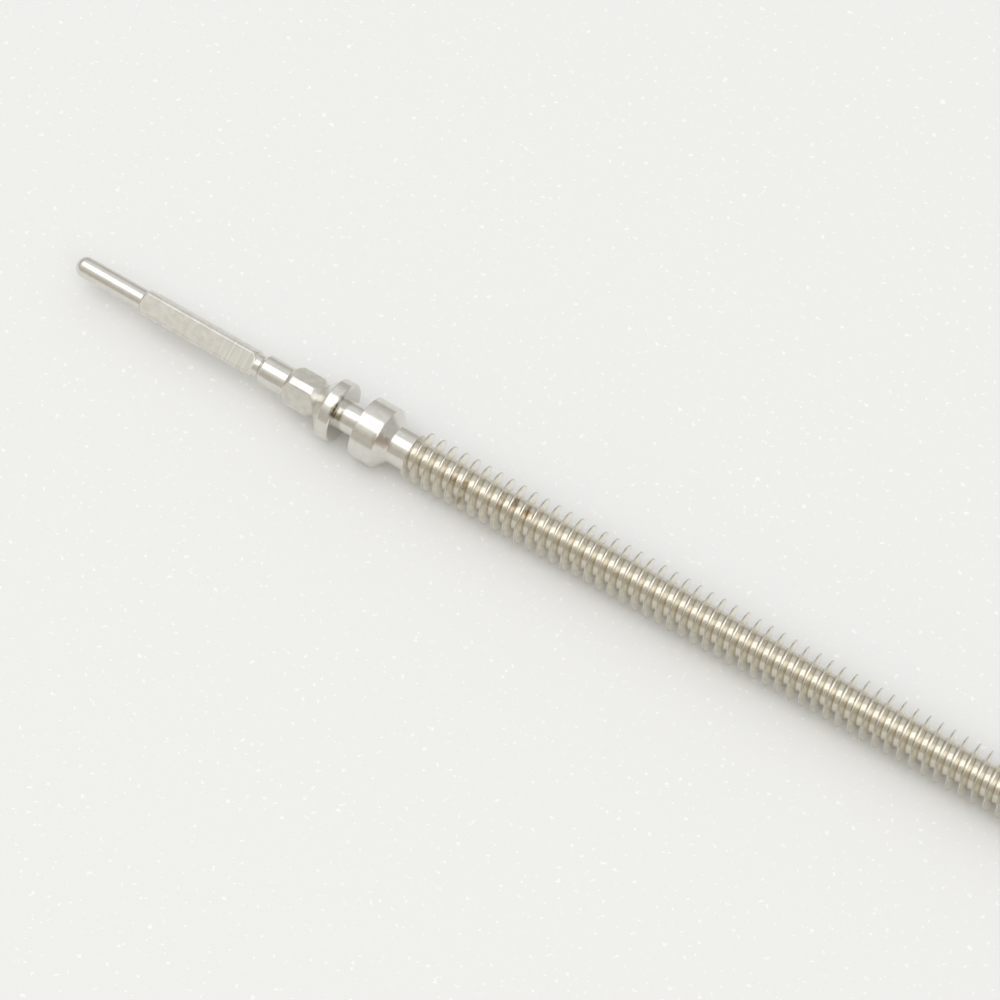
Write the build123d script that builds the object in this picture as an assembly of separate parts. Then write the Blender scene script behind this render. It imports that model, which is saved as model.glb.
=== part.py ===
"""A watch's winding stem, one steel rod turned, milled and threaded along its length.

Lengths are in millimetres. The stem's axis is X: the pilot points to -X and the thread to +X.
The origin is on the axis, in the middle of the rear collar's bearing rim. Z is up.
"""
import os

from build123d import *

# Pilot pivot at the inner end
pilot_radius = 0.185
pilot_length = 1.36
pilot_tip_chamfer = 0.09

# Clutch square, with turned lands left on its corners
clutch_square_flats = 0.412
clutch_square_corner_radius = 0.262
clutch_square_length = 2.31
clutch_square_start_chamfer = 0.08
clutch_square_end_chamfer = 0.085
clutch_square_turn_deg = -12
square_corner_to_flat_deg = 45

# Undercut between the clutch square and the journal
undercut_radius = 0.2
undercut_length = 0.09

# Journal of the winding pinion
journal_radius = 0.262
journal_length = 0.485
journal_start_chamfer = 0.07

# Shoulder square
shoulder_square_flats = 0.588
shoulder_square_corner_radius = 0.352
shoulder_square_length = 0.625
shoulder_square_start_chamfer = 0.095
shoulder_square_end_chamfer = 0.1
shoulder_square_turn_deg = 14.2

# Collars on both sides of the lever groove
collar_radius = 0.54
collar_foot_radius = 0.277
front_collar_cone_length = 0.235
front_collar_rim_length = 0.19
front_collar_back_length = 0.035
front_collar_back_depth = 0.03
rear_collar_rim_length = 0.43
rear_collar_chamfer_length = 0.185
rim_edge_break = 0.012

# Core of the lever groove
groove_core_radius = 0.272
groove_length = 0.43

# Relief between the rear collar and the thread
relief_radius = 0.34
relief_length = 0.35

# Right-hand thread, with flat crests and roots
thread_major_radius = 0.45
thread_root_radius = 0.26
thread_pitch = 0.225
thread_turn_count = 76
thread_crest_share = 0.1
thread_root_share = 0.45
thread_start_turn_deg = -172
thread_end_chamfer = 0.18
thread_flank_point_count = 10
full_turn_deg = 360

# Stations along the axis, counted outwards from the rear collar's bearing rim
rear_rim_end = rear_collar_rim_length / 2
relief_start = rear_rim_end + rear_collar_chamfer_length
thread_start = relief_start + relief_length
groove_end = rear_rim_end - rear_collar_rim_length
groove_start = groove_end - groove_length
front_rim_end = groove_start - front_collar_back_length
front_rim_start = front_rim_end - front_collar_rim_length
shoulder_end = front_rim_start - front_collar_cone_length
shoulder_start = shoulder_end - shoulder_square_length
journal_rim_start = shoulder_start - journal_length
undercut_end = journal_rim_start - journal_start_chamfer
undercut_start = undercut_end - undercut_length
clutch_start = undercut_start - clutch_square_length
pilot_start = clutch_start - pilot_length


def turned(outline):
    """A solid turned about X, from the (station, radius) points of its outline."""
    first_station = outline[0][0]
    last_station = outline[-1][0]
    profile = Polyline((first_station, 0), *outline, (last_station, 0), close=True)
    return revolve(Plane.XZ * make_face(profile), Axis.X)


def squared(blank, flats, turn_deg, start, length):
    """A turned blank with four flats milled on it, one corner turned about X away from +Z."""
    flats_centre = Pos(start + length / 2, 0, 0)
    corner_up = Rot(turn_deg + square_corner_to_flat_deg, 0, 0)
    return blank & (flats_centre * corner_up * Box(length, flats, flats))


def pilot_pivot():
    """Round pivot with a chamfered tip."""
    return turned([
        (pilot_start, pilot_radius - pilot_tip_chamfer),
        (pilot_start + pilot_tip_chamfer, pilot_radius),
        (clutch_start, pilot_radius),
    ])


def clutch_square():
    """Long square whose corner lands taper to the pilot and to the undercut."""
    blank = turned([
        (clutch_start, pilot_radius),
        (clutch_start + clutch_square_start_chamfer, clutch_square_corner_radius),
        (undercut_start - clutch_square_end_chamfer, clutch_square_corner_radius),
        (undercut_start, undercut_radius),
    ])
    return squared(
        blank, clutch_square_flats, clutch_square_turn_deg, clutch_start, clutch_square_length
    )


def square_undercut():
    """Short round neck."""
    return turned([(undercut_start, undercut_radius), (undercut_end, undercut_radius)])


def pinion_journal():
    """Round journal, tapered at its start down to the undercut."""
    return turned([
        (undercut_end, undercut_radius),
        (journal_rim_start, journal_radius),
        (shoulder_start, journal_radius),
    ])


def shoulder_square():
    """Larger square whose corner lands taper to the journal and to the front collar's foot."""
    blank = turned([
        (shoulder_start, journal_radius),
        (shoulder_start + shoulder_square_start_chamfer, shoulder_square_corner_radius),
        (shoulder_end - shoulder_square_end_chamfer, shoulder_square_corner_radius),
        (shoulder_end, collar_foot_radius),
    ])
    return squared(
        blank, shoulder_square_flats, shoulder_square_turn_deg, shoulder_start, shoulder_square_length
    )


def front_collar():
    """Disc with a conical front face, a rim that is chamfered behind, and a flat back face."""
    return turned([
        (shoulder_end, collar_foot_radius),
        (front_rim_start, collar_radius),
        (front_rim_end, collar_radius),
        (groove_start, collar_radius - front_collar_back_depth),
    ])


def lever_groove_core():
    """Round core of the groove between the two collars."""
    return turned([(groove_start, groove_core_radius), (groove_end, groove_core_radius)])


def rear_collar():
    """Disc with a flat front face and a long chamfer behind its bearing rim."""
    return turned([
        (groove_end, collar_radius - rim_edge_break),
        (groove_end + rim_edge_break, collar_radius),
        (rear_rim_end, collar_radius),
        (relief_start, relief_radius),
    ])


def thread_relief():
    """Plain round length before the thread."""
    return turned([(relief_start, relief_radius), (thread_start, relief_radius)])


def thread_section(station):
    """The thread's cross-section at a station: a crest arc, a root arc and two spiral flanks."""
    flank_share = (1 - thread_crest_share - thread_root_share) / 2
    crest_end = thread_crest_share / 2
    root_start = crest_end + flank_share
    root_end = root_start + thread_root_share

    def point(turn_share, radius):
        turn_deg = thread_start_turn_deg + full_turn_deg * turn_share
        return Vector(station, radius, 0).rotate(Axis.X, turn_deg)

    def arc(first_share, last_share, radius):
        middle_share = (first_share + last_share) / 2
        return ThreePointArc(
            point(first_share, radius), point(middle_share, radius), point(last_share, radius)
        )

    def flank(first_share, first_radius, last_radius):
        spiral = []
        for number in range(thread_flank_point_count + 1):
            part = number / thread_flank_point_count
            radius = first_radius + (last_radius - first_radius) * part
            spiral.append(point(first_share + flank_share * part, radius))
        return Spline(*spiral)

    return make_face([
        arc(-crest_end, crest_end, thread_major_radius),
        flank(crest_end, thread_major_radius, thread_root_radius),
        arc(root_start, root_end, thread_root_radius),
        flank(root_end, thread_root_radius, thread_major_radius),
    ])


def thread_turn(start):
    """One turn of thread: its cross-section carried along X while it turns once."""
    section = thread_section(start).face()
    along = (thread_pitch, 0, 0)
    return Solid.extrude_linear_with_rotation(section, (start, 0, 0), along, full_turn_deg)


def chamfered_thread_turn(start):
    """The thread's last turn, cut by the cone of the end chamfer."""
    end_radius = thread_major_radius - thread_end_chamfer
    cone = turned([(start, end_radius + thread_pitch), (start + thread_pitch, end_radius)])
    return (Part() + thread_turn(start)) & cone


def threaded_shank():
    """Long thread, its turns' faces sewn into one solid without the sections between them."""
    full_turn_count = thread_turn_count - 1
    turn_faces = thread_turn(thread_start).faces().sort_by(Axis.X)
    start_face = turn_faces[0]
    helical_faces = turn_faces[1:-1]
    last_turn = chamfered_thread_turn(thread_start + thread_pitch * full_turn_count)
    end_faces = last_turn.faces().sort_by(Axis.X)[1:]
    skin = [start_face, *end_faces]
    for number in range(full_turn_count):
        step = Pos(thread_pitch * number, 0, 0)
        skin += [step * face for face in helical_faces]
    return Solid(Shell(skin))


nodes = {
    "pilot_pivot": pilot_pivot(),
    "clutch_square": clutch_square(),
    "square_undercut": square_undercut(),
    "pinion_journal": pinion_journal(),
    "shoulder_square": shoulder_square(),
    "front_collar": front_collar(),
    "lever_groove_core": lever_groove_core(),
    "rear_collar": rear_collar(),
    "thread_relief": thread_relief(),
    "threaded_shank": threaded_shank(),
}

os.makedirs("parts", exist_ok=True)
for node, shape in nodes.items():
    export_step(shape, f"parts/{node}.step")
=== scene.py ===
"""A watch's winding stem lying on a pale floor, seen from the photograph's viewpoint."""
import math

import bpy
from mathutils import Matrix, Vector


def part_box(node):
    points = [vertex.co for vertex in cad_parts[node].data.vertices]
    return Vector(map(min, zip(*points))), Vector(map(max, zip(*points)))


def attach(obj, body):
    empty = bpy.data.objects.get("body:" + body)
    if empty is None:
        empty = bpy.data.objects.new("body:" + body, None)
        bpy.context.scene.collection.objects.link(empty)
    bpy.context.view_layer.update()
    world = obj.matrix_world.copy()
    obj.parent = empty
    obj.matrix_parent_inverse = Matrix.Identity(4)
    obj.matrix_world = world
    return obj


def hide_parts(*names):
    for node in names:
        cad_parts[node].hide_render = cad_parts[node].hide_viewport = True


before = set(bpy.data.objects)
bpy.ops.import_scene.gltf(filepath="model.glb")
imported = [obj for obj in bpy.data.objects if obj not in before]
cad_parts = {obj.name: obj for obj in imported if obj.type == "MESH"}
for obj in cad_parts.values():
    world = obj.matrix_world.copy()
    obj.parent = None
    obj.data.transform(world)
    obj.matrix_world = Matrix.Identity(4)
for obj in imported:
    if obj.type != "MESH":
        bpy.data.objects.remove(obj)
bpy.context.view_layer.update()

mm = 0.001

# Camera: where it aims on the stem's axis, and from where it looks
camera_aim = Vector((2.409, 0.043, 0)) * mm
camera_distance = 66.93 * mm
camera_azimuth_deg = 33.04
camera_elevation_deg = 60.97
camera_lens_mm = 147.36
camera_clip_near = 0.67 * mm
camera_clip_far = 6000 * mm

# Radii and flats of the machined lengths
pilot_radius = 0.185 * mm
pilot_tip_radius = 0.095 * mm
pilot_tip_flat_radius = 0.019 * mm
pilot_tip_chamfer = 0.09 * mm
clutch_square_corner_radius = 0.262 * mm
clutch_square_flats = 0.412 * mm
clutch_square_start_chamfer = 0.08 * mm
clutch_square_end_chamfer = 0.085 * mm
clutch_square_turn_deg = -12
clutch_square_edge_rounding = 0.005 * mm
undercut_radius = 0.2 * mm
journal_radius = 0.262 * mm
journal_start_chamfer = 0.07 * mm
shoulder_square_corner_radius = 0.352 * mm
shoulder_square_flats = 0.588 * mm
shoulder_square_start_chamfer = 0.095 * mm
shoulder_square_end_chamfer = 0.1 * mm
shoulder_square_turn_deg = 14.2
shoulder_square_edge_rounding = 0.008 * mm
collar_foot_radius = 0.277 * mm
collar_radius = 0.54 * mm
front_collar_cone_length = 0.235 * mm
front_collar_back_length = 0.035 * mm
front_collar_back_depth = 0.03 * mm
rear_collar_chamfer_length = 0.185 * mm
groove_core_radius = 0.272 * mm
relief_radius = 0.34 * mm

# Thread
thread_major_radius = 0.45 * mm
thread_root_radius = 0.26 * mm
thread_pitch = 0.225 * mm
thread_crest_share = 0.1
thread_root_share = 0.42
thread_start_turn_deg = -172
thread_start_radius = 0.4 * mm
thread_end_radius = 0.27 * mm
thread_root_rounding = 0.05 * mm

# Fineness and edge rounding of the meshes
edge_rounding = 0.014 * mm
corner_steps = 5
round_columns = 192
round_ring_step = 0.02 * mm
square_columns = 480
square_ring_step = 0.006 * mm
thread_columns = 120
thread_spare_turns = 2
thread_profile_step = 0.014 * mm
sharp_edge_deg = 40


def flat_vector(station, radius):
    """A point of an outline: its station along X and its radius."""
    return Vector((station, radius))


def rounded(outline, rounding):
    """The outline with each inner corner replaced by a short curve."""
    path = [outline[0]]
    for before, corner, after in zip(outline, outline[1:], outline[2:]):
        room = min((before - corner).length, (after - corner).length) / 2
        cut = min(rounding, room)
        near = corner + (before - corner).normalized() * cut
        far = corner + (after - corner).normalized() * cut
        for step in range(corner_steps + 1):
            part = step / corner_steps
            path.append(near.lerp(corner, part).lerp(corner.lerp(far, part), part))
    path.append(outline[-1])
    return path


def subdivided(path, step):
    """The path with points added so that none are further apart than the step."""
    points = [path[0]]
    for start, end in zip(path, path[1:]):
        count = max(1, math.ceil((end - start).length / step))
        for number in range(1, count + 1):
            points.append(start.lerp(end, number / count))
    return points


def smooth_min(first, second, blend):
    """The smaller of two lengths, blended where they are nearly equal."""
    nearness = max(blend - abs(first - second), 0) / blend
    return min(first, second) - nearness * nearness * blend / 4


def on_stem(station, radius, angle):
    """A point at an angle about X, counted from +Y towards +Z."""
    return (station, radius * math.cos(angle), radius * math.sin(angle))


def add_piece(node, points, faces, slot):
    """Adds a smooth mesh piece that stands for a node, in the material of its slot."""
    mesh = bpy.data.meshes.new(f"{node}_skin")
    mesh.from_pydata(points, [], faces)
    mesh.validate()
    mesh.shade_smooth()
    mesh.set_sharp_from_angle(angle=math.radians(sharp_edge_deg))
    mesh.materials.append(steels[slot])
    piece = bpy.data.objects.new(f"{node}_skin", mesh)
    bpy.context.scene.collection.objects.link(piece)
    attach(piece, "root")
    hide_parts(node)


def ring_faces(ring_count, columns):
    """Quads between neighbouring rings, and a fan of triangles that closes each end."""
    faces = []
    for ring in range(ring_count - 1):
        for column in range(columns):
            beside = (column + 1) % columns
            low, high = ring * columns, (ring + 1) * columns
            faces.append((low + column, low + beside, high + beside, high + column))
    first_centre = ring_count * columns
    last_ring = (ring_count - 1) * columns
    for column in range(columns):
        beside = (column + 1) % columns
        faces.append((column, first_centre, beside))
        faces.append((last_ring + column, last_ring + beside, first_centre + 1))
    return faces


def ringed_piece(node, path, columns, radius_at, slot):
    """Adds a piece made of rings about X, one at each point of its path."""
    points = []
    for station, radius in path:
        for column in range(columns):
            angle = 2 * math.pi * column / columns
            points.append(on_stem(station, radius_at(radius, angle), angle))
    points.append((path[0].x, 0, 0))
    points.append((path[-1].x, 0, 0))
    add_piece(node, points, ring_faces(len(path), columns), slot)


def turned_piece(node, outline, rounding=edge_rounding):
    """Adds a round piece, turned from its outline."""
    path = subdivided(rounded(outline, rounding), round_ring_step)
    ringed_piece(node, path, round_columns, lambda radius, angle: radius, "turned_steel")


def squared_piece(node, outline, flats, turn_deg, edge_blend):
    """Adds a turned piece with four flats; one corner is turned about X away from +Z."""
    quarter = math.pi / 2
    first_corner = quarter + math.radians(turn_deg)

    def radius_at(radius, angle):
        from_flat = (angle - first_corner) % quarter - quarter / 2
        return smooth_min(radius, flats / 2 / math.cos(from_flat), edge_blend)

    path = subdivided(rounded(outline, edge_rounding), square_ring_step)
    ringed_piece(node, path, square_columns, radius_at, "milled_steel")


def ends(node):
    """The stations where a node of the frame starts and ends."""
    lowest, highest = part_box(node)
    return lowest.x, highest.x


def thread_profile():
    """One pitch of the thread's outline, from the middle of a root to the next."""
    crest = thread_pitch * thread_crest_share / 2
    root = thread_pitch * thread_root_share / 2
    half = thread_pitch / 2
    rise = rounded([
        flat_vector(-half, thread_root_radius),
        flat_vector(root - half, thread_root_radius),
        flat_vector(-crest, thread_major_radius),
    ], thread_root_rounding)
    fall = [flat_vector(-point.x, point.y) for point in reversed(rise)]
    return subdivided([*rise, *fall], thread_profile_step)[:-1]


def thread_radius(radius, station, start, end):
    """A thread radius, cut down by the chamfers at the thread's two ends."""
    at_start = thread_start_radius + (station - start)
    at_end = thread_end_radius + (end - station)
    return min(radius, at_start, at_end)


def profile_radius(profile, offset):
    """The profile's radius at an offset from the middle of a crest."""
    half = thread_pitch / 2
    wrapped = (offset + half) % thread_pitch - half
    closed = [*profile, flat_vector(half, thread_root_radius)]
    for low, high in zip(closed, closed[1:]):
        if low.x <= wrapped <= high.x and high.x > low.x:
            return low.y + (high.y - low.y) * (wrapped - low.x) / (high.x - low.x)
    return thread_root_radius


def thread_points(profile, rows, start, end):
    """Columns of points along X, each a little further on than the one before.

    Points past the thread's two ends are pressed onto its end faces.
    """
    first_crest = math.radians(thread_start_turn_deg)
    points = []
    for column in range(thread_columns):
        angle = 2 * math.pi * column / thread_columns
        lead = thread_pitch * (angle - first_crest) / (2 * math.pi)
        start_radius = profile_radius(profile, -lead)
        for row in range(rows):
            turn, number = divmod(row, len(profile))
            station = start + lead + (turn - thread_spare_turns) * thread_pitch + profile[number].x
            radius = profile[number].y
            if station <= start:
                station, radius = start, start_radius
            station = min(station, end)
            points.append(on_stem(station, thread_radius(radius, station, start, end), angle))
    return points


def thread_faces(rows, rows_per_turn):
    """Quads between neighbouring columns, and a fan of triangles that closes each end."""
    faces = []
    for column in range(thread_columns):
        beside = (column + 1) % thread_columns
        shift = rows_per_turn if beside == 0 else 0
        for row in range(rows - 1):
            low = column * rows + row
            side_low = beside * rows + min(row + shift, rows - 1)
            side_high = beside * rows + min(row + shift + 1, rows - 1)
            faces.append((low, side_low, side_high, low + 1))
    first_centre = thread_columns * rows
    for column in range(thread_columns):
        beside = (column + 1) % thread_columns
        low, side = column * rows, beside * rows
        faces.append((low, first_centre, side))
        faces.append((low + rows - 1, side + rows - 1, first_centre + 1))
    return faces


def threaded_piece(node):
    """Adds the thread as one closed mesh."""
    start, end = ends(node)
    profile = thread_profile()
    turn_count = round((end - start) / thread_pitch)
    rows = (turn_count + 2 * thread_spare_turns) * len(profile)
    points = [*thread_points(profile, rows, start, end), (start, 0, 0), (end, 0, 0)]
    add_piece(node, points, thread_faces(rows, len(profile)), "threaded_steel")


def build_stem():
    """Adds all pieces of the stem, from the pilot to the thread."""
    pilot_start, pilot_end = ends("pilot_pivot")
    square_start, square_end = ends("clutch_square")
    undercut_start, undercut_end = ends("square_undercut")
    journal_start, journal_end = ends("pinion_journal")
    shoulder_start, shoulder_end = ends("shoulder_square")
    front_start, front_end = ends("front_collar")
    core_start, core_end = ends("lever_groove_core")
    rear_start, rear_end = ends("rear_collar")
    relief_start, relief_end = ends("thread_relief")
    turned_piece("pilot_pivot", [
        flat_vector(pilot_start, pilot_tip_flat_radius),
        flat_vector(pilot_start, pilot_tip_radius),
        flat_vector(pilot_start + pilot_tip_chamfer, pilot_radius),
        flat_vector(pilot_end, pilot_radius),
    ], pilot_tip_chamfer)
    squared_piece("clutch_square", [
        flat_vector(square_start, pilot_radius),
        flat_vector(square_start + clutch_square_start_chamfer, clutch_square_corner_radius),
        flat_vector(square_end - clutch_square_end_chamfer, clutch_square_corner_radius),
        flat_vector(square_end, undercut_radius),
    ], clutch_square_flats, clutch_square_turn_deg, clutch_square_edge_rounding)
    turned_piece("square_undercut", [
        flat_vector(undercut_start, undercut_radius),
        flat_vector(undercut_end, undercut_radius),
    ])
    turned_piece("pinion_journal", [
        flat_vector(journal_start, undercut_radius),
        flat_vector(journal_start + journal_start_chamfer, journal_radius),
        flat_vector(journal_end, journal_radius),
    ])
    squared_piece("shoulder_square", [
        flat_vector(shoulder_start, journal_radius),
        flat_vector(shoulder_start + shoulder_square_start_chamfer, shoulder_square_corner_radius),
        flat_vector(shoulder_end - shoulder_square_end_chamfer, shoulder_square_corner_radius),
        flat_vector(shoulder_end, collar_foot_radius),
    ], shoulder_square_flats, shoulder_square_turn_deg, shoulder_square_edge_rounding)
    turned_piece("front_collar", [
        flat_vector(front_start, collar_foot_radius),
        flat_vector(front_start + front_collar_cone_length, collar_radius),
        flat_vector(front_end - front_collar_back_length, collar_radius),
        flat_vector(front_end, collar_radius - front_collar_back_depth),
        flat_vector(front_end, groove_core_radius),
    ])
    turned_piece("lever_groove_core", [
        flat_vector(core_start, groove_core_radius),
        flat_vector(core_end, groove_core_radius),
    ])
    turned_piece("rear_collar", [
        flat_vector(rear_start, groove_core_radius),
        flat_vector(rear_start, collar_radius),
        flat_vector(rear_end - rear_collar_chamfer_length, collar_radius),
        flat_vector(rear_end, relief_radius),
    ])
    turned_piece("thread_relief", [
        flat_vector(relief_start, relief_radius),
        flat_vector(relief_end, relief_radius),
    ])
    threaded_piece("threaded_shank")


# Sockets of the mix node that handle colours; their names are not unique
mix_first_input = 6
mix_second_input = 7
mix_colour_output = 2


class Nodes:
    """Makes and joins the nodes of one shader tree."""

    def __init__(self, tree):
        self.tree = tree

    def add(self, kind, inputs=None, **settings):
        """A node with its settings, and its inputs set to values or to other nodes' outputs."""
        made = self.tree.nodes.new(kind)
        for name, value in settings.items():
            setattr(made, name, value)
        for name, value in (inputs or {}).items():
            if isinstance(value, bpy.types.NodeSocket):
                self.tree.links.new(value, made.inputs[name])
            else:
                made.inputs[name].default_value = value
        return made

    def ramp(self, factor, stops):
        """A colour ramp of (position, colour) stops."""
        stops = list(stops)
        made = self.add("ShaderNodeValToRGB", {"Fac": factor})
        elements = made.color_ramp.elements
        while len(elements) < len(stops):
            elements.new(1)
        for element, (position, colour) in zip(elements, stops):
            element.position = position
            element.color = (*colour, 1)
        return made.outputs["Color"]

    def mix(self, factor, first, second):
        """A colour that goes from the first to the second as the factor goes from 0 to 1."""
        made = self.add("ShaderNodeMix", {
            "Factor": factor, mix_first_input: first, mix_second_input: second,
        }, data_type="RGBA")
        return made.outputs[mix_colour_output]

    def product(self, first, second):
        """The product of two factors."""
        made = self.add("ShaderNodeMath", {0: first, 1: second}, operation="MULTIPLY")
        return made.outputs["Value"]

    def fade(self, value, start, end):
        """A factor that goes from 0 to 1 as the value goes from the start to the end."""
        made = self.add("ShaderNodeMapRange", {"Value": value, "From Min": start, "From Max": end})
        return made.outputs["Result"]


def new_material(name):
    """An empty node material, and the maker of its nodes."""
    material = bpy.data.materials.new(name)
    material.use_nodes = True
    material.node_tree.nodes.clear()
    return material, Nodes(material.node_tree)


# Steel colours and roughnesses
steel_colour = (0.75, 0.735, 0.69)
steel_shade = (0.7, 0.68, 0.63)
# The thread's root colour is darker and yellower than the steel: a film in the roots, with painted
# shade in the groove
root_film_and_shade_colour = (0.66, 0.62, 0.525)
# The thread's flank colour is lighter than the steel: painted light on the flanks
flank_painted_light_colour = (0.94, 0.91, 0.84)
# The thread's crest colour is darker than the steel: painted shade that dims the crests' highlight
crest_painted_shade_colour = (0.62, 0.6, 0.55)
milled_shade = (0.685, 0.663, 0.605)
milled_light = (0.765, 0.75, 0.705)
turned_roughness = 0.2
milled_roughness = 0.36
thread_roughness = 0.24

# Thread colours by depth, as shares of the way from the root to the crest; the lighter flanks are
# painted light, the darker crests painted shade, the darker roots a film with painted shade
root_share = 0
root_film_and_shade_share = 0.12
flank_start_share = 0.4
flank_end_share = 0.9
crest_share = 0.97

# Mottling, with the noise levels of its darkest and lightest colours
mottle_scale = 9000
mottle_shares = (0.35, 0.65)
milled_mottle_shares = (0.38, 0.62)
noise_detail = 3

# Fine rings about the axis; a scale is a noise's repeats per metre, here along X, Y and Z
ring_scale = (60000, 1500, 1500)
ring_depth = 0.002 * mm
turned_ring_strength = 0.25
thread_ring_strength = 0.2

# Ripples across the clutch square, and the stations between which they fade in and out
ripple_scale = (16000, 900, 900)
ripple_depth = 0.004 * mm
ripple_strength = 0.35
ripple_shares = (0.4, 0.6)
ripple_shade = (0.66, 0.645, 0.59)
ripple_light = (0.78, 0.765, 0.715)
ripples_start = (-3.2 * mm, -2.85 * mm)
ripples_end = (-2.2 * mm, -2.3 * mm)

# Stains, and patches of painted shade and of a painted reflection: their centres and radii in
# millimetres, and their colours. The edge shares are the outer and the inner limit of a patch's
# ragged edge, as shares of its radius
patch_edge_scale = 14000
patch_edge_shares = (1.5, 0.8)
# Dark brown patches in the corner behind the front collar: painted shade, with some dirt
corner_shade_and_dirt = (0.17, 0.14, 0.085)
faint_corner_shade_and_dirt = (0.45, 0.42, 0.33)
# A painted brown reflection on the rear collar's chamfer
brown_chamfer_reflection = (0.52, 0.46, 0.39)
rust = (0.37, 0.265, 0.165)
faint_rust = (0.52, 0.43, 0.33)
# The collar patches: painted shade with some dirt in the corner behind the front collar, and a
# painted reflection on the rear collar's chamfer
collar_shade_reflection_and_dirt = (
    ((-0.66, -0.17, 0.49), 0.07, corner_shade_and_dirt),
    ((-0.66, -0.24, 0.46), 0.075, corner_shade_and_dirt),
    ((-0.66, -0.31, 0.41), 0.07, corner_shade_and_dirt),
    ((-0.645, -0.16, 0.4), 0.08, corner_shade_and_dirt),
    ((-0.645, -0.22, 0.36), 0.08, corner_shade_and_dirt),
    ((-0.645, -0.27, 0.31), 0.07, corner_shade_and_dirt),
    ((-0.66, 0, 0.5), 0.07, faint_corner_shade_and_dirt),
    ((-0.61, -0.2, 0.185), 0.06, faint_corner_shade_and_dirt),
    ((0.243, -0.277, 0.405), 0.13, brown_chamfer_reflection),
    ((0.296, -0.255, 0.359), 0.13, brown_chamfer_reflection),
    ((0.349, -0.233, 0.312), 0.13, brown_chamfer_reflection),
)
thread_stains = (
    ((1.825, -0.151, 0.293), 0.12, rust),
    ((1.865, -0.399, 0.131), 0.14, faint_rust),
    ((2.453, -0.014, 0.4), 0.08, faint_rust),
    ((2.695, -0.147, 0.261), 0.11, faint_rust),
    ((2.73, -0.016, 0.33), 0.12, rust),
    ((2.985, -0.049, 0.276), 0.13, rust),
)


def steel_surface(nodes, colour, roughness, marks, mark_strength, mark_depth):
    """A metal shader with a colour and a height field of marks, joined to the material's output."""
    bump = nodes.add("ShaderNodeBump", {
        "Height": marks, "Strength": mark_strength, "Distance": mark_depth,
    })
    shader = nodes.add("ShaderNodeBsdfPrincipled", {
        "Base Color": colour, "Metallic": 1, "Roughness": roughness, "Normal": bump.outputs["Normal"],
    })
    nodes.add("ShaderNodeOutputMaterial", {"Surface": shader.outputs["BSDF"]})


def scaled_noise(nodes, place, scale):
    """Noise in the piece's own coordinates, stretched by a scale along each axis."""
    mapping = nodes.add("ShaderNodeMapping", {"Vector": place, "Scale": scale})
    noise = nodes.add("ShaderNodeTexNoise", {
        "Vector": mapping.outputs["Vector"], "Scale": 1, "Detail": noise_detail,
    })
    return noise.outputs["Fac"]


def mottled(nodes, place, scale, shares, colours):
    """A colour that wanders between two, as an even noise does between its two shares."""
    mottle = scaled_noise(nodes, place, (scale, scale, scale))
    return nodes.ramp(mottle, zip(shares, colours, strict=True))


def stained_and_shaded(nodes, place, colour, stains):
    """A colour with patches mixed in, each with a ragged edge: stains, painted shade and painted
    reflections.
    """
    ragged = scaled_noise(nodes, place, (patch_edge_scale, patch_edge_scale, patch_edge_scale))
    for centre, radius, tint in stains:
        middle = Vector(centre) * mm
        reach = radius * mm
        away = nodes.add("ShaderNodeVectorMath", {0: place, 1: middle}, operation="DISTANCE")
        spread = nodes.add("ShaderNodeMath", {
            0: ragged, 1: reach, 2: away.outputs["Value"],
        }, operation="MULTIPLY_ADD")
        outer_edge, inner_edge = (reach * share for share in patch_edge_shares)
        inside = nodes.fade(spread.outputs["Value"], outer_edge, inner_edge)
        colour = nodes.mix(inside, colour, (*tint, 1))
    return colour


def turned_steel():
    """Bright turned steel: faint mottling, fine rings about the axis, and on the collars patches of
    painted shade with some dirt and a painted brown reflection.
    """
    material, nodes = new_material("turned_steel")
    place = nodes.add("ShaderNodeTexCoord").outputs["Object"]
    colour = mottled(nodes, place, mottle_scale, mottle_shares, (steel_shade, steel_colour))
    # Painted shade behind the front collar and a painted reflection on the rear collar's chamfer
    colour = stained_and_shaded(nodes, place, colour, collar_shade_reflection_and_dirt)
    rings = scaled_noise(nodes, place, ring_scale)
    steel_surface(nodes, colour, turned_roughness, rings, turned_ring_strength, ring_depth)
    return material


def milled_steel():
    """Milled steel: mottled, with the cutter's ripples beside the clutch square's undercut."""
    material, nodes = new_material("milled_steel")
    place = nodes.add("ShaderNodeTexCoord").outputs["Object"]
    colour = mottled(nodes, place, mottle_scale, milled_mottle_shares, (milled_shade, milled_light))
    ripples = scaled_noise(nodes, place, ripple_scale)
    stripes = nodes.ramp(ripples, zip(ripple_shares, (ripple_shade, ripple_light), strict=True))
    along = nodes.add("ShaderNodeSeparateXYZ", {"Vector": place}).outputs["X"]
    rippled = nodes.product(nodes.fade(along, *ripples_start), nodes.fade(along, *ripples_end))
    colour = nodes.mix(rippled, colour, stripes)
    steel_surface(nodes, colour, milled_roughness, ripples, ripple_strength, ripple_depth)
    return material


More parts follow.
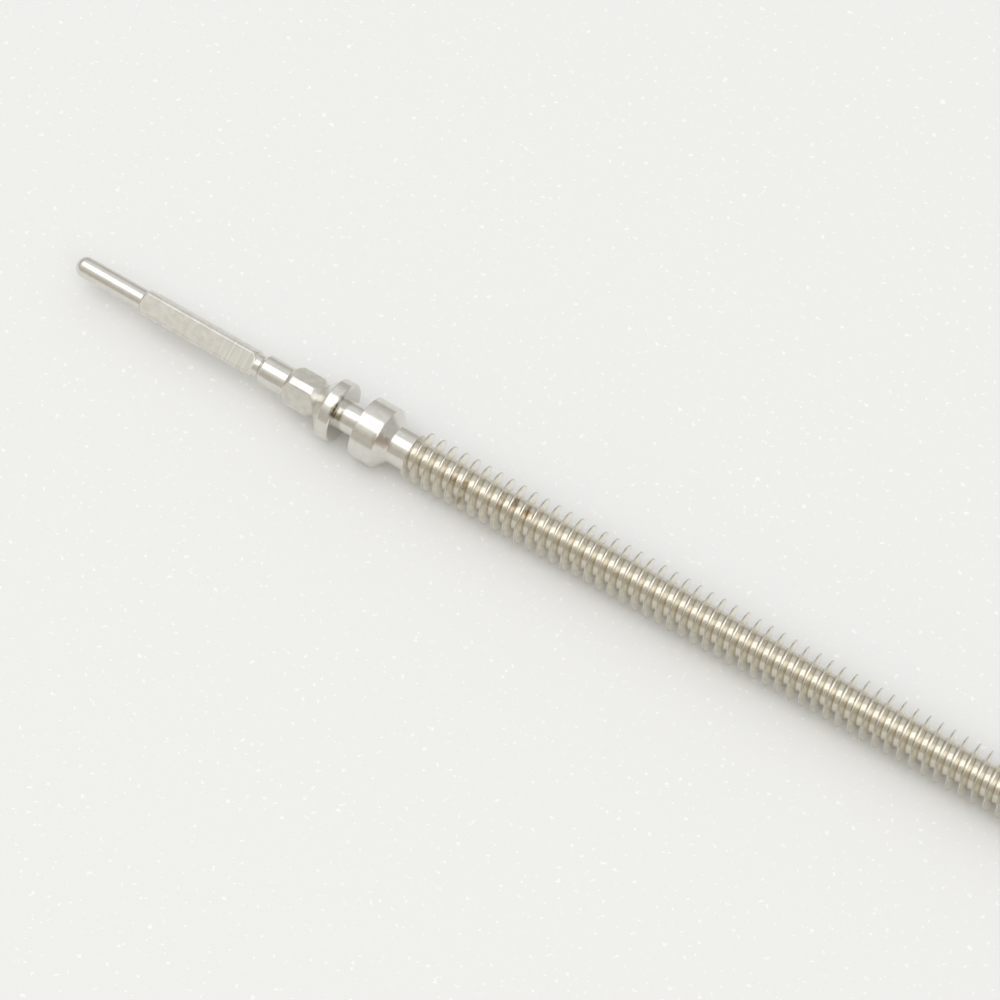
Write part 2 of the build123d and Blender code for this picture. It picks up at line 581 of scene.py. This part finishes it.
def threaded_steel():
    """Cut thread: flanks lightened with painted light, crests darkened with painted shade, roots
    darker and yellower with a film and painted shade, and a few stains.
    """
    material, nodes = new_material("threaded_steel")
    place = nodes.add("ShaderNodeTexCoord").outputs["Object"]
    axes = nodes.add("ShaderNodeSeparateXYZ", {"Vector": place})
    across = nodes.add("ShaderNodeCombineXYZ", {"Y": axes.outputs["Y"], "Z": axes.outputs["Z"]})
    radius = nodes.add("ShaderNodeVectorMath", {0: across.outputs["Vector"]}, operation="LENGTH")
    depth = nodes.fade(radius.outputs["Value"], thread_root_radius, thread_major_radius)
    # Painted light on the flanks, painted shade on the crests, a film with painted shade in the roots
    colour = nodes.ramp(depth, [
        (root_share, root_film_and_shade_colour),
        (root_film_and_shade_share, steel_shade),
        (flank_start_share, flank_painted_light_colour),
        (flank_end_share, flank_painted_light_colour),
        (crest_share, crest_painted_shade_colour),
    ])
    colour = stained_and_shaded(nodes, place, colour, thread_stains)
    rings = scaled_noise(nodes, place, ring_scale)
    steel_surface(nodes, colour, thread_roughness, rings, thread_ring_strength, ring_depth)
    return material


# Floor
floor_size = 600 * mm
floor_colour = (0.84, 0.843, 0.835)
sparkle_colour = (0.94, 0.94, 0.935)
sparkle_scale = 9000
sparkle_shares = (0.635, 0.69)
floor_roughness = 0.9
floor_specular = 0.2


def pale_floor():
    """Adds the matt pale floor that the collars rest on, with sparse fine sparkles."""
    material, nodes = new_material("pale_floor")
    place = nodes.add("ShaderNodeTexCoord").outputs["Object"]
    colour = mottled(nodes, place, sparkle_scale, sparkle_shares, (floor_colour, sparkle_colour))
    shader = nodes.add("ShaderNodeBsdfPrincipled", {
        "Base Color": colour, "Roughness": floor_roughness, "Specular IOR Level": floor_specular,
    })
    nodes.add("ShaderNodeOutputMaterial", {"Surface": shader.outputs["BSDF"]})
    half = floor_size / 2
    mesh = bpy.data.meshes.new("floor")
    corners = [(-half, -half, 0), (half, -half, 0), (half, half, 0), (-half, half, 0)]
    mesh.from_pydata(corners, [], [(0, 1, 2, 3)])
    mesh.materials.append(material)
    floor = bpy.data.objects.new("floor", mesh)
    bpy.context.scene.collection.objects.link(floor)
    floor.location.z = -collar_radius


# The lamp
softbox_height = 250 * mm
softbox_centre = (62 * mm, -78 * mm)
softbox_size = (621 * mm, 182 * mm)
softbox_turn_deg = -20
softbox_power = 0.33

# The world's light, by the Y and Z of the direction in which it lies
horizon_light = (0.565, 0.555, 0.53)
middle_light = (0.67, 0.665, 0.65)
upper_light = (0.845, 0.85, 0.855)
near_light = (0.6, 0.573, 0.515)
halo_light = (0.95, 0.94, 0.91)
horizon_z = 0.2
middle_z = 0.48
upper_z = 0.68
near_side_y = (-0.7, 0)
halo_near_y = (-0.78, -0.4)
halo_far_y = (0, -0.3)
halo_low_z = (0.35, 0.6)


def softbox():
    """Adds a large soft lamp nearly overhead."""
    lamp = bpy.data.lights.new("softbox", "AREA")
    lamp.shape = "RECTANGLE"
    lamp.size, lamp.size_y = softbox_size
    lamp.energy = softbox_power
    holder = bpy.data.objects.new("softbox", lamp)
    bpy.context.scene.collection.objects.link(holder)
    holder.location = (*softbox_centre, softbox_height)
    holder.rotation_euler.z = math.radians(softbox_turn_deg)


def surroundings():
    """Adds pale surroundings, darker towards the horizon, with a halo beside the lamp."""
    world = bpy.data.worlds.new("surroundings")
    world.use_nodes = True
    world.node_tree.nodes.clear()
    bpy.context.scene.world = world
    nodes = Nodes(world.node_tree)
    direction = nodes.add("ShaderNodeTexCoord").outputs["Generated"]
    axes = nodes.add("ShaderNodeSeparateXYZ", {"Vector": direction})
    y, z = axes.outputs["Y"], axes.outputs["Z"]
    far_side = nodes.ramp(z, [
        (horizon_z, horizon_light), (middle_z, middle_light), (upper_z, upper_light),
    ])
    around = nodes.mix(nodes.fade(y, *near_side_y), (*near_light, 1), far_side)
    across = nodes.product(nodes.fade(y, *halo_near_y), nodes.fade(y, *halo_far_y))
    halo = nodes.product(across, nodes.fade(z, *halo_low_z))
    colour = nodes.mix(halo, around, (*halo_light, 1))
    glow = nodes.add("ShaderNodeBackground", {"Color": colour, "Strength": 1})
    nodes.add("ShaderNodeOutputWorld", {"Surface": glow.outputs["Background"]})


def camera():
    """Adds the camera at the photograph's viewpoint, upright."""
    lens = bpy.data.cameras.new("camera")
    lens.lens = camera_lens_mm
    lens.clip_start, lens.clip_end = camera_clip_near, camera_clip_far
    holder = bpy.data.objects.new("camera", lens)
    bpy.context.scene.collection.objects.link(holder)
    azimuth, elevation = math.radians(camera_azimuth_deg), math.radians(camera_elevation_deg)
    back = Vector((
        math.sin(azimuth) * math.cos(elevation),
        -math.cos(azimuth) * math.cos(elevation),
        math.sin(elevation),
    ))
    holder.location = camera_aim + back * camera_distance
    holder.rotation_euler = (-back).to_track_quat("-Z", "Y").to_euler()
    bpy.context.scene.camera = holder


steels = {
    "turned_steel": turned_steel(),
    "milled_steel": milled_steel(),
    "threaded_steel": threaded_steel(),
}
build_stem()
pale_floor()
softbox()
surroundings()
camera()
bpy.context.scene.view_settings.view_transform = "Standard"
